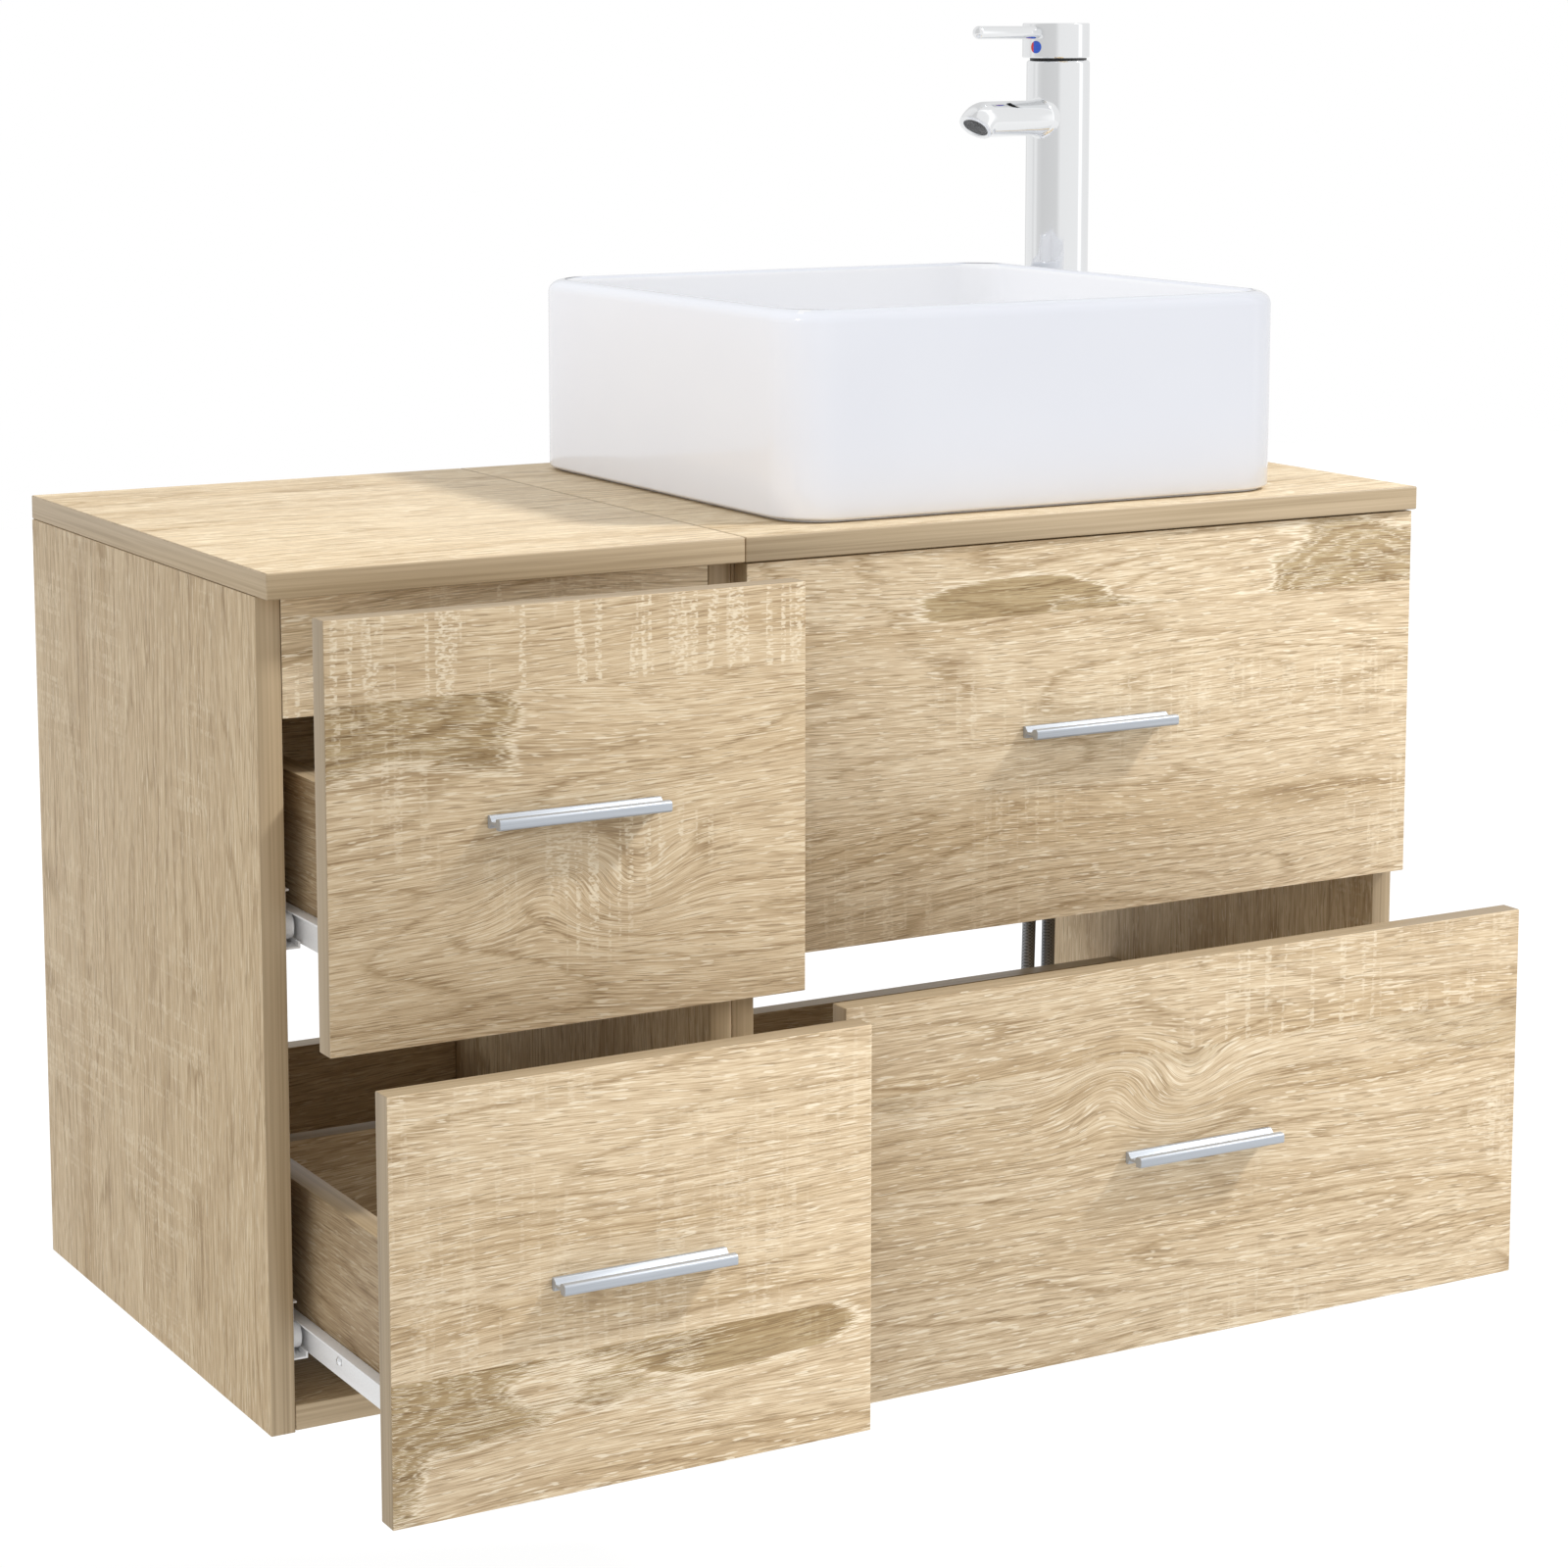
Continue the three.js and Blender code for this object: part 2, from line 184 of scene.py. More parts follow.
# The figure's level is FIGURE_GAIN * noise + FIGURE_START on the seam and falls away from it.
FIGURE_GAIN = 4.6
FIGURE_START = -1.55
FIGURE_SLANT = 0.9                     # how far the figure leans along the grain as it leaves the seam
FIGURE_EDGE = (0.40, 0.48)             # levels between which the olive colour comes in
RIM_LEVELS = (0.30, 0.35, 0.39, 0.42)  # levels where the cream rim starts, is full, ebbs and ends
CONTOURS = 3.3                         # cream contour lines per unit of level inside the figure
CONTOUR_FROM = 0.44
TONGUE_LEVEL = 1.1                     # level at the middle of a tongue


def rgba(colour):
    return (*colour, 1.0)


class Oak(Tree):
    """Printed sonoma oak foil: short fibres on axis `along`, with optional figure, knot and saw marks."""

    def __init__(self, name, along, across, contrast=1.0, tint=(1.0, 1.0, 1.0), ticks=0.0, seed=0.0,
                 waves=1.0, bands=1.0, seam=None, side=1, reach=0.05, figure=1.0, lean=None,
                 tongues=(), knot=None):
        super().__init__(name)
        self.contrast, self.waves, self.bands = contrast, waves, bands
        axes = self.object_axes()
        third = next(axis for axis in "xyz" if axis not in (along, across))
        self.u, self.v = axes[along], axes[across]
        self.w = self.line(axes[third], DEPTH_RATE, seed)
        if seam is not None:
            above = self.math("GREATER_THAN", self.v, seam)
            self.w = self.math("ADD", self.w, self.math("MULTIPLY", above, PLANK_SHIFT))
        self.flat = self.vector(self.u, self.v, self.w)
        self.bend(knot)
        colour = self.fibres()
        if seam is not None:
            colour = self.figure(colour, seam, side, reach, figure, lean, tongues)
        if ticks:
            colour = self.saw_marks(colour, ticks, seam, side)
        # The tint scales the board's colour; on side panels, inner boards and open fronts it is painted
        # shade, on front rails painted light.
        colour = self.mix(1.0, colour, rgba(tint), "MULTIPLY")
        rough = self.line(self.fibre, 0.25, 0.42)
        relief = self.math("SUBTRACT", self.fibre, self.math("MULTIPLY", self.pores, 0.6))
        self.set(Base_Color=colour, Roughness=rough, Normal=self.bump(relief, 0.0003, 0.5))
        self.shader.inputs["Specular IOR Level"].default_value = 0.3

    def line(self, value, slope, start):
        """slope * value + start."""
        return self.add("ShaderNodeMath", {0: value, 1: slope, 2: start}, operation="MULTIPLY_ADD")

    def swing(self, value, size):
        """A noise value as a swing of about +-size/4 round zero."""
        return self.line(value, size, -0.5 * size)

    def bend(self, knot):
        """Coordinates that follow the fibres: slow waves, ripples and a swirl round a knot."""
        place = self.flat
        if knot:
            centre = (knot[0], knot[1], 0.0)
            far = self.add("ShaderNodeVectorMath", {0: place, 1: centre}, operation="SUBTRACT")
            far = self.add("ShaderNodeVectorMath", {0: far, 1: KNOT_STRETCH}, operation="MULTIPLY")
            far = self.add("ShaderNodeVectorMath", {0: far}, out=1, operation="LENGTH")
            near = self.math("POWER", self.math("DIVIDE", far, KNOT_RADIUS), 2.0)
            fade = self.math("EXPONENT", self.math("MULTIPLY", near, -1.0))
            turn = self.math("MULTIPLY", fade, KNOT_TURN)
            place = self.add(
                "ShaderNodeVectorRotate", {"Vector": place, "Center": centre, "Angle": turn},
                rotation_type="Z_AXIS",
            )
        u, v, w = self.split(place)
        wave = self.swing(self.noise(place, WAVE_CELLS, 1.0), WAVE * self.waves)
        ripple = self.swing(self.noise(place, RIPPLE_CELLS, 1.0), RIPPLE * self.waves)
        self.bent = self.math("ADD", v, self.math("ADD", wave, ripple))
        self.grain = self.vector(u, self.bent, w)

    def fibres(self):
        """The plain wood: fibres, streaks, wide bands, growth rings, dark pores and light flecks."""
        self.fibre = self.noise(self.grain, FIBRE_CELLS, 2.0, 0.7)
        streak = self.noise(self.grain, STREAK_CELLS, 2.0, 0.6)
        broad = self.noise(self.grain, BROAD_CELLS, 2.0)
        c = self.contrast
        tone = self.math("ADD", self.swing(self.fibre, 1.45 * c), self.swing(streak, 0.3 * c))
        tone = self.math("ADD", tone, self.line(broad, 0.2 * c * self.bands, 0.5 - 0.1 * c * self.bands))
        colour = self.ramp(
            tone, (0.05, OAK_DARK), (0.32, OAK_BROWN), (0.5, OAK_MID), (0.68, OAK_LIGHT), (0.95, OAK_CREAM),
        )
        wide = self.ramp(broad, (0.36, 1.0), (0.47, 0.0))
        wide = self.math("MULTIPLY", wide, 0.75 * c * self.bands)
        colour = self.mix(wide, colour, rgba(BROAD_SHADE), "MULTIPLY")
        colour = self.rings(colour)
        self.pores = self.ramp(self.noise(self.grain, PORE_CELLS, 1.0), (0.32, 1.0), (0.37, 0.0))
        colour = self.mix(self.math("MULTIPLY", self.pores, 0.75 * c), colour, rgba(OAK_DARK))
        flecks = self.ramp(self.noise(self.grain, FLECK_CELLS, 1.0), (0.62, 0.0), (0.68, 1.0))
        return self.mix(self.math("MULTIPLY", flecks, 0.7 * c), colour, rgba(OAK_CREAM))

    def rings(self, colour):
        """Growth rings: thin broken darker lines that nest into long loops."""
        field = self.noise(self.grain, RING_CELLS, 1.0)
        field = self.math("ADD", field, self.swing(self.fibre, 0.03))
        phase = self.math("FRACT", self.math("MULTIPLY", field, RING_COUNT))
        lines = self.ramp(phase, (0.0, 1.0), (0.08, 0.4), (0.24, 0.0), (0.94, 0.0), (1.0, 1.0))
        broken = self.ramp(self.noise(self.grain, RING_BREAK_CELLS, 1.0), (0.30, 0.0), (0.50, 1.0))
        strength = self.math("MULTIPLY", self.math("MULTIPLY", lines, broken), 0.9 * self.contrast)
        return self.mix(strength, colour, rgba(RING_SHADE), "MULTIPLY")

    def contours(self, level):
        """Cream contour lines inside the figure."""
        phase = self.math("FRACT", self.math("MULTIPLY", level, CONTOURS))
        lines = self.ramp(phase, (0.72, 0.0), (0.82, 0.8), (0.93, 0.8), (1.0, 0.0))
        return self.math("MULTIPLY", lines, self.math("GREATER_THAN", level, CONTOUR_FROM))

    def tongue(self, field, u, v, length, height):
        """Level of one long spot with ragged edges; length and height are half its size."""
        along = self.line(self.u, 1 / length, -u / length)
        across = self.line(self.v, 1 / height, -v / height)
        far = self.math("ADD", self.math("MULTIPLY", along, along), self.math("MULTIPLY", across, across))
        ragged = self.math("ADD", self.swing(field, 1.6), self.swing(self.fibre, 0.7))
        return self.math("SUBTRACT", self.math("ADD", ragged, TONGUE_LEVEL), far)

    def figure(self, colour, seam, side, reach, strength, lean, tongues):
        """Ragged darker figure that starts on the straight seam between two printed planks."""
        depth = self.line(self.v, side / reach, -seam * side / reach)
        here = self.math("GREATER_THAN", depth, 0.0)
        along = self.math("ADD", self.u, self.math("MULTIPLY", self.v, FIGURE_SLANT))
        field = self.noise(self.vector(along, self.bent, self.w), FIGURE_CELLS, 2.0, 0.5)
        level = self.line(field, FIGURE_GAIN, FIGURE_START)
        level = self.math("ADD", level, self.swing(self.fibre, 0.8))
        level = self.math("SUBTRACT", level, depth)
        if lean is not None:
            place, rate = lean
            level = self.math("ADD", level, self.line(self.u, rate, -place * rate))
        contours = self.contours(level)
        for spot in tongues:
            level = self.math("MAXIMUM", level, self.tongue(field, *spot))
        low, high = FIGURE_EDGE
        inside = self.math("MULTIPLY", here, self.ramp(level, (low, 0.0), (high, 1.0)))
        colour = self.mix(self.math("MULTIPLY", inside, strength), colour, rgba(FIGURE_SHADE), "MULTIPLY")
        rim = self.ramp(level, *zip(RIM_LEVELS, (0.0, 1.0, 1.0, 0.0)))
        rim = self.math("MAXIMUM", rim, contours)
        rim = self.math("MULTIPLY", self.math("MULTIPLY", here, rim), 0.8 * strength)
        return self.mix(rim, colour, rgba(OAK_CREAM))

    def saw_marks(self, colour, ticks, seam, side):
        """Cream dashes in columns across the grain, left by the saw."""
        columns = self.ramp(self.noise(self.flat, SAW_COLUMN_CELLS, 1.0), (0.52, 0.0), (0.60, 1.0))
        dashes = self.ramp(self.noise(self.flat, SAW_DASH_CELLS, 1.0), (0.46, 0.0), (0.58, 1.0))
        patches = self.noise(self.flat, SAW_PATCH_CELLS, 1.0)
        if seam is not None and side < 0:
            above = self.math("GREATER_THAN", self.v, seam)
            patches = self.math("ADD", patches, self.line(above, 0.22, -0.08))
        where = self.ramp(patches, (0.52, 0.0), (0.62, 1.0))
        marks = self.math("MULTIPLY", self.math("MULTIPLY", columns, dashes), where)
        return self.mix(self.math("MULTIPLY", marks, ticks), colour, rgba(OAK_CREAM))


def oak(name, along, across, **options):
    return Oak(name, along, across, **options).material


def edge_band(name, along, across):
    """Thin plastic edging with straight lines along the board's edge, darkened as painted shade on boards
    that face the user.
    """
    # Painted shade: the edging of boards whose thin side faces the user is made darker.
    level = 0.80 if across == "y" else 1.0
    tree = Tree(name)
    axes = tree.object_axes()
    third = next(axis for axis in "xyz" if axis not in (along, across))
    line = tree.vector(axes[along], axes[across], axes[third])
    lines = tree.noise(line, (5.0, 520.0, 520.0), 2.0, 0.6)
    soft = tree.noise(line, (3.0, 60.0, 60.0), 1.0)
    tone = tree.math("ADD", lines, tree.math("MULTIPLY", tree.math("SUBTRACT", soft, 0.5), 0.6))
    colour = tree.ramp(tone, (0.25, BAND_DARK), (0.5, BAND), (0.8, BAND_LIGHT))
    colour = tree.mix(1.0, colour, (level, level, 0.96 * level, 1.0), "MULTIPLY")
    return tree.set(Base_Color=colour, Roughness=0.45, Normal=tree.bump(lines, 0.00012, 0.4))


_cache = {}


def cached(maker, *key, **options):
    """The same material for every board that asks for the same one."""
    if key not in _cache:
        _cache[key] = maker("_".join(str(part) for part in key), *key[1:3], **options)
    return _cache[key]


def soften(node, width, segments=2, slot=-1):
    """Rounds a CAD node's sharp edges with modifiers and shades it smooth.

    slot is the rounding's material slot; -1 keeps the material of the faces beside it.
    """
    weld = node.modifiers.new("weld", "WELD")
    weld.merge_threshold = 0.00002
    bevel = node.modifiers.new("bevel", "BEVEL")
    bevel.width = width
    bevel.segments = segments
    bevel.limit_method = "ANGLE"
    bevel.angle_limit = math.radians(30)
    bevel.harden_normals = True
    bevel.material = slot
    node.data.shade_smooth()


def dress(piece, thin, along, foil, rounding=0.0006, rounding_slot=-1):
    """Foil on a board's two faces, edging on its four edges."""
    across = next(axis for axis in "xyz" if axis not in (thin, along))
    piece.data.materials.clear()
    piece.data.materials.append(foil)
    piece.data.materials.append(cached(edge_band, "band", along, thin))
    piece.data.materials.append(cached(edge_band, "band", across, thin))
    index = {thin: 0, across: 1, along: 2}
    for polygon in piece.data.polygons:
        strongest = max(range(3), key=lambda i: abs(polygon.normal[i]))
        polygon.material_index = index["xyz"[strongest]]
    soften(piece, rounding, slot=rounding_slot)


LOW_CONTRAST = {"contrast": 0.9}
TOP_TINT = (0.98, 0.97, 0.95)
# Painted shade: the side panels' foil is darker than the top's because the sides get less light.
SIDE_PAINTED_SHADE = (0.775, 0.724, 0.652)
# Painted shade: the rails and drawer backs inside the cabinets are darker than the fronts' foil.
RAIL_PAINTED_SHADE = (0.74, 0.69, 0.63)
# Painted shade: the cabinet floors and drawer sides, deep inside, are darkened further.
INNER_PAINTED_SHADE = (0.55, 0.495, 0.43)
# Painted light: the front rails, in shade under the tops, are lifted above the foil's own colour.
FRONT_RAIL_PAINTED_LIGHT = (1.14, 1.17, 1.22)
TOP_ROUNDING = 0.0009                  # the edging shows from above as a thin line where the tops meet

# Each front's print, with places in metres from the front's lower left corner. The figure hangs on one
# side of the seam and comes reach away from it. Along the front it grows at the lean's rate from the
# lean's place. A tongue is its place, half its length and half its height.
# The tint on each front is painted shade: the open fronts are darkened so they look no brighter than the
# closed one.
FRONT_PRINTS = {
    "left_upper": {
        "seam": 0.193, "side": -1, "reach": 0.045, "lean": (0.09, -7.0), "knot": (0.160, 0.077),
        "ticks": 0.75, "seed": 0.7, "tint": (0.80, 0.76, 0.71),
    },
    "left_lower": {
        "seam": 0.080, "side": -1, "reach": 0.050, "lean": (0.15, -8.0),
        "tongues": [(0.216, 0.071, 0.098, 0.019)], "ticks": 0.25, "seed": 2.9, "tint": (0.93, 0.90, 0.87),
    },
    "right_upper": {
        "seam": 0.194, "side": 1, "reach": 0.030, "lean": (0.25, 3.5),
        "tongues": [(0.188, 0.203, 0.088, 0.019)], "ticks": 0.35, "seed": 6.4, "tint": (1.0, 0.98, 0.96),
    },
    "right_lower": {
        "seam": 0.182, "side": -1, "reach": 0.040, "figure": 0.4, "knot": (0.212, 0.163),
        "ticks": 0.45, "seed": 5.1, "tint": (0.93, 0.90, 0.87),
    },
}


def dress_fronts():
    for key, prints in FRONT_PRINTS.items():
        front = f"{key}_drawer_front"
        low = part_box(front)[0]
        options = dict(prints, seam=low.z + prints["seam"])
        if "tongues" in prints:
            options["tongues"] = [(low.x + u, low.z + v, *size) for u, v, *size in prints["tongues"]]
        if "lean" in prints:
            options["lean"] = (low.x + prints["lean"][0], prints["lean"][1])
        if "knot" in prints:
            options["knot"] = (low.x + prints["knot"][0], low.z + prints["knot"][1])
        dress(NODES[front], "y", "x", oak(f"foil_{key}", "x", "z", **options))


def dress_boards():
    top = cached(oak, "foil_top", "x", "y", tint=TOP_TINT, **LOW_CONTRAST)
    panel = cached(
        oak, "foil_side", "z", "y", tint=SIDE_PAINTED_SHADE, ticks=0.45, seed=1.3, waves=0.35, bands=1.3,
        **LOW_CONTRAST,
    )
    rail = cached(oak, "foil_rail", "x", "z", tint=RAIL_PAINTED_SHADE)
    floor = cached(oak, "foil_floor", "x", "y", tint=INNER_PAINTED_SHADE)
    drawer_side = cached(oak, "foil_drawer", "y", "z", tint=INNER_PAINTED_SHADE)
    for side in ("left", "right"):
        dress(NODES[f"{side}_countertop"], "z", "x", top, TOP_ROUNDING, 1)
        dress(NODES[f"{side}_cabinet_left_side"], "x", "z", panel)
        dress(NODES[f"{side}_cabinet_right_side"], "x", "z", panel)
        dress(NODES[f"{side}_cabinet_bottom"], "z", "x", floor)
        dress(NODES[f"{side}_cabinet_hanging_rail"], "y", "x", rail)
        dress(NODES[f"{side}_cabinet_lower_rail"], "y", "x", rail)
        for row in ("upper", "lower"):
            drawer = f"{side}_{row}_drawer"
            dress(NODES[f"{drawer}_left_side"], "x", "y", drawer_side)
            dress(NODES[f"{drawer}_right_side"], "x", "y", drawer_side)
            dress(NODES[f"{drawer}_back"], "y", "x", rail)


# ---- other materials ----
def chrome():
    tree = Tree("chrome")
    smear = tree.noise(tree.place(), (60.0, 60.0, 25.0), 3.0)
    rough = tree.ramp(smear, (0.35, 0.035), (0.7, 0.075))
    return tree.set(Base_Color=(0.86, 0.87, 0.88, 1), Metallic=1.0, Roughness=rough)


def glaze(name, low, high):
    """Glazed ceramic that varies slowly between two tints."""
    tree = Tree(name)
    place = tree.place()
    tint = tree.ramp(tree.noise(place, (9.0, 9.0, 9.0), 2.0), (0.3, low), (0.7, high))
    ripple = tree.noise(place, (35.0, 35.0, 35.0), 1.0)
    tree.set(Base_Color=tint, Roughness=0.14, Normal=tree.bump(ripple, 0.0004, 0.12))
    tree.shader.inputs["Coat Weight"].default_value = 0.5
    tree.shader.inputs["Coat Roughness"].default_value = 0.04
    return tree.material


def satin():
    """Anodised aluminium with fine lines along the bar."""
    tree = Tree("satin_aluminium")
    drawn = tree.noise(tree.place(), (20.0, 2500.0, 2500.0), 2.0)
    colour = tree.ramp(drawn, (0.3, (0.43, 0.46, 0.50)), (0.7, (0.51, 0.54, 0.58)))
    rough = tree.ramp(drawn, (0.3, 0.46), (0.7, 0.6))
    return tree.set(Base_Color=colour, Metallic=0.55, Roughness=rough, Normal=tree.bump(drawn, 0.00005, 0.3))


def braid():
    """Woven steel wire: two families of fine diagonal ridges round the hose."""
    tree = Tree("hose_braid")
    axes = tree.object_axes()
    wires = 2600.0
    along = tree.math("MULTIPLY", axes["z"], wires)
    sideways = tree.math("ADD", axes["x"], tree.math("MULTIPLY", axes["y"], 0.8))
    round_it = tree.math("MULTIPLY", sideways, wires)
    left = tree.math("SINE", tree.math("ADD", along, round_it))
    right = tree.math("SINE", tree.math("SUBTRACT", along, round_it))
    weave = tree.math("MAXIMUM", left, right)
    colour = tree.ramp(
        weave, (0.0, (0.13, 0.135, 0.14)), (0.6, (0.24, 0.25, 0.265)), (1.0, (0.32, 0.33, 0.35)),
    )
    return tree.set(Base_Color=colour, Metallic=0.7, Roughness=0.42, Normal=tree.bump(weave, 0.0003, 0.6))


def plain(name, low, high, roughness, cells=700.0, detail=2.0, relief=0.00005, strength=0.3):
    """Even surface with a fine mottle between two tints."""
    tree = Tree(name)
    mottle = tree.noise(tree.place(), (cells,) * 3, detail)
    return tree.set(
        Base_Color=tree.ramp(mottle, (0.3, low), (0.7, high)), Roughness=roughness,
        Normal=tree.bump(mottle, relief, strength),
    )


# ---- mesh helpers ----
def add_mesh(name, vertices, faces, material, body="cabinet", smooth=True):
    mesh = bpy.data.meshes.new(name)
    mesh.from_pydata([tuple(v) for v in vertices], [], faces)
    mesh.validate()
    build = bmesh.new()
    build.from_mesh(mesh)
    bmesh.ops.recalc_face_normals(build, faces=build.faces)
    build.to_mesh(mesh)
    build.free()
    if smooth:
        mesh.shade_smooth()
    mesh.materials.append(material)
    piece = bpy.data.objects.new(name, mesh)
    bpy.context.scene.collection.objects.link(piece)
    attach(piece, body)
    return piece


def loft(rings, close_start=False, close_end=False):
    """Vertices and faces through rings of equal length."""
    count = len(rings[0])
    vertices = [point for ring in rings for point in ring]
    faces = []
    for k in range(len(rings) - 1):
        for i in range(count):
            j = (i + 1) % count
            faces.append((k * count + i, k * count + j, (k + 1) * count + j, (k + 1) * count + i))
    if close_start:
        faces.append(tuple(reversed(range(count))))
    if close_end:
        faces.append(tuple(range((len(rings) - 1) * count, len(rings) * count)))
    return vertices, faces


def arc(centre, radius, start, end, steps):
    """Points (a, b) on an arc, angles in degrees."""
    out = []
    for k in range(steps + 1):
        angle = math.radians(start + (end - start) * k / steps)
        out.append((centre[0] + radius * math.cos(angle), centre[1] + radius * math.sin(angle)))
    return out


AXIS = 0.0001          # innermost radius of a turned piece, just off its axis


def lathe(name, profile, origin, material, body="cabinet", segments=96, axis=(0, 0, 1),
          ends=(True, True)):
    """Turns (radius, height) points about an axis through origin; ends says which ends are closed."""
    turn = Vector((0, 0, 1)).rotation_difference(Vector(axis)).to_matrix()
    rings = []
    for radius, height in profile:
        ring = []
        for i in range(segments):
            angle = 2 * math.pi * i / segments
            local = Vector((radius * math.cos(angle), radius * math.sin(angle), height))
            ring.append(Vector(origin) + turn @ local)
        rings.append(ring)
    vertices, faces = loft(rings, *ends)
    return add_mesh(name, vertices, faces, material, body)


def collar(inner, outer, start, end):
    """Closed profile of a flat ring."""
    return [(inner, start), (outer, start), (outer, end), (inner, end), (inner, start)]


def sharpen(piece, angle=FLAT_ANGLE):
    """Keeps a smooth-shaded piece crisp at corners sharper than the angle."""
    build = bmesh.new()
    build.from_mesh(piece.data)
    for edge in build.edges:
        if len(edge.link_faces) == 2 and edge.calc_face_angle(0) > angle:
            edge.smooth = False
    build.to_mesh(piece.data)
    build.free()


# ---- front rails ----
FRONT_RAIL_HEIGHT = 0.070
BOARD = 0.015


def make_front_rails():
    """A rail under each top, between the side panels, that the closed upper drawer front hides."""
    foil = cached(
        oak, "foil_front_rail", "x", "z", tint=FRONT_RAIL_PAINTED_LIGHT, ticks=0.5, seed=8.2, **LOW_CONTRAST,
    )
    for side in ("left", "right"):
        low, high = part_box(f"{side}_cabinet_hanging_rail")
        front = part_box(f"{side}_cabinet_left_side")[0].y
        ring = [(low.x, front), (high.x, front), (high.x, front + BOARD), (low.x, front + BOARD)]
        rings = [[Vector((x, y, z)) for x, y in ring] for z in (high.z - FRONT_RAIL_HEIGHT, high.z)]
        vertices, faces = loft(rings, True, True)
        rail = add_mesh(f"{side}_cabinet_front_rail", vertices, faces, foil, smooth=False)
        dress(rail, "y", "x", foil)


# ---- supply hoses ----
HOSE_RADIUS = 0.005
# Centrelines in millimetres, from the union nut down.
HOSE_ROUTES = {
    "hot": [
        (342.9, -52, 45.7), (342.6, -52, 20), (340.4, -51.6, -20), (337.4, -51, -80), (335, -50.4, -150),
        (333, -50, -220), (331.4, -49.8, -290), (330.6, -49.8, -330),
    ],
    "cold": [
        (353.9, -52, 45.7), (353.6, -52, 20), (352.4, -51.6, -20), (351, -51, -80), (350.4, -50.4, -150),
        (349.6, -50, -220), (348.8, -49.8, -290), (348.4, -49.8, -330),
    ],
}


def make_hoses():
    material = braid()
    for name, route in HOSE_ROUTES.items():
        points = [Vector(p) * MM for p in route]
        data = bpy.data.curves.new(f"{name}_hose_braid", "CURVE")
        data.dimensions = "3D"
        data.bevel_depth = HOSE_RADIUS
        data.bevel_resolution = 6
        data.resolution_u = 8
        data.use_fill_caps = True
        spline = data.splines.new("BEZIER")
        spline.bezier_points.add(len(points) - 1)
        for bezier, point in zip(spline.bezier_points, points):
            bezier.co = point
            bezier.handle_left_type = bezier.handle_right_type = "AUTO"
        data.materials.append(material)
        hose = bpy.data.objects.new(f"{name}_hose_braid", data)
        bpy.context.scene.collection.objects.link(hose)
        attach(hose, "cabinet")
        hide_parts(f"{name}_supply_hose")


# ---- basin ----
def rounded_distance(half_w, half_d, corner, angle):
    """Distance from the centre to a rounded rectangle's edge, in one direction."""
    c, s = abs(math.cos(angle)), abs(math.sin(angle))
    reach = min(half_w / c if c > 1e-9 else 1e9, half_d / s if s > 1e-9 else 1e9)
    if reach * c > half_w - corner and reach * s > half_d - corner:
        px, py = half_w - corner, half_d - corner
        b = px * c + py * s
        reach = b + math.sqrt(max(b * b - (px * px + py * py - corner * corner), 0))
    return reach


def basin_angles(half_w, half_d, corner):
    """Directions that put more points on the corners than on the straight sides."""
    quarter = []
    for k in range(9):
        quarter.append(math.atan2((half_d - corner) * k / 9, half_w))
    for x, y in arc((half_w - corner, half_d - corner), corner, 0, 90, 14):
        quarter.append(math.atan2(y, x))
    for k in range(1, 9):
        quarter.append(math.atan2(half_d, (half_w - corner) * (1 - k / 9)))
    angles = []
    for turn in range(4):
        if turn % 2 == 0:
            angles += [a + turn * math.pi / 2 for a in quarter]
        else:
            mirrored = [math.pi / 2 - a for a in reversed(quarter[1:])] + [math.pi / 2]
            angles += [a + turn * math.pi / 2 for a in sorted(set(mirrored) - {math.pi / 2})]
    return sorted(set(round(a % (2 * math.pi), 6) for a in angles))


BASIN_CORNER = 0.034   # outer corners, seen from above
BASIN_FOOT = 0.006     # how far the foot stands in
BASIN_RIM = 0.0082     # radius of the rim's outer edge
BASIN_LIP = 0.0045     # radius of its inner edge
BASIN_WALL = 0.013
BASIN_FILLET = 0.026
BASIN_FLOOR = 0.018    # inside floor above the foot
BASIN_FALL = 0.003     # how far the floor falls towards the drain
DRAIN_RADIUS = 0.0225
DRAIN_EDGE = 0.004     # rounding round the drain


def basin_profile(height):
    """(inset from the outer face, height above the foot, corner radius), from the foot to the floor."""
    corner, rim, lip = BASIN_CORNER, BASIN_RIM, BASIN_LIP
    inner, fillet, floor = BASIN_WALL, BASIN_FILLET, BASIN_FLOOR
    foot_corner, edge = 0.028, 0.0025
    profile = [(BASIN_FOOT, 0.0, foot_corner), (BASIN_FOOT, 0.0014, foot_corner)]
    profile += [(edge - edge * math.sin(t), 0.0039 - edge * math.cos(t), corner)
                for t in (0.0, 0.4, 0.8, 1.2, 1.57)]
    profile += [(0.0, 0.02, corner), (0.0, 0.06, corner), (0.0, height - rim - 0.02, corner)]
    profile += [(rim - rim * math.cos(t), height - rim + rim * math.sin(t), corner)
                for t in (0.0, 0.26, 0.52, 0.79, 1.05, 1.31, 1.57)]
    profile += [(inner - lip + lip * math.cos(t), height - lip + lip * math.sin(t), corner - 0.009)
                for t in (1.4, 1.15, 0.9, 0.65, 0.4, 0.2, 0.0)]
    profile += [(inner + 0.001, height - 0.03, corner - 0.010)]
    profile += [(inner + 0.003, height - 0.07, corner - 0.008)]
    for t in (0.0, 0.25, 0.5, 0.75, 1.0, 1.25, 1.45, 1.57):
        inset = inner + 0.004 + fillet * (1 - math.cos(t))
        profile.append((inset, floor + fillet * (1 - math.sin(t)), corner - 0.006 + 0.01 * t))
    return profile


